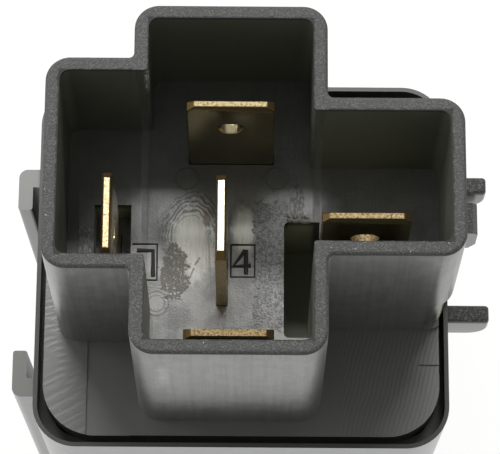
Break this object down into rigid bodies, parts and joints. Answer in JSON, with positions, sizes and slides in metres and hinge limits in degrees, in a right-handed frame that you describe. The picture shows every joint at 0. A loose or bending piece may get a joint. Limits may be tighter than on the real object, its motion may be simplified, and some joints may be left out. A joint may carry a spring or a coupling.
{
  "type": "automotive relay",
  "caption": "Sealed changeover relay: square black case, base with a cross-shaped plug shroud and flat brass blades, sprung armature inside.",
  "frame": {"origin": "centre of the flat closed end of the case", "axes": "+Z from the closed end to the blade tips, +X towards the longer arm of the plug shroud, +Y towards the shroud's back arm"},
  "size_m": [0.0362, 0.029, 0.0466],
  "materials": {
    "case_plastic": "moulded black, satin",
    "base_plastic": "moulded black, grained rim, glossy floor",
    "blade_brass": "stamped brass, sheared edges",
    "plated_steel": "zinc plated",
    "bobbin_plastic": "natural moulded plastic",
    "enamelled_copper": "enamelled copper wire",
    "rivet_copper": "copper rivets",
    "spring_bronze": "rolled spring bronze",
    "contact_silver": "silver contact metal",
    "resistor_coat": "lacquered resistor body",
    "tinned_wire": "tinned copper wire"
  },
  "bodies": {
    "relay": {"case": "case_plastic", "base": "base_plastic", "terminal_left": "blade_brass", "terminal_right": "blade_brass", "terminal_back": "blade_brass", "terminal_centre": "blade_brass", "terminal_front": "blade_brass", "yoke": "plated_steel", "core": "plated_steel", "bobbin": "bobbin_plastic", "coil_winding": "enamelled_copper", "common_rivet": "rivet_copper", "spring_rivets": "plated_steel", "closed_contact": "contact_silver", "open_contact": "contact_silver", "coil_lead_left": "enamelled_copper", "coil_lead_right": "enamelled_copper", "resistor_body": "resistor_coat", "resistor_leads": "tinned_wire"},
    "armature_group": {"armature": "plated_steel", "contact_spring": "spring_bronze", "armature_rivets": "rivet_copper", "moving_contact": "contact_silver"}
  },
  "joints": [
    {"name": "armature_hinge", "type": "hinge", "parent": "relay", "child": "armature_group", "pos_m": [-0.00085, 0.0106, 0.00709], "axis": [-1, 0, 0], "range_deg": [0, 3.2], "stiffness_Nm_per_rad": 0.05, "springref_deg": -5.73}
  ]
}
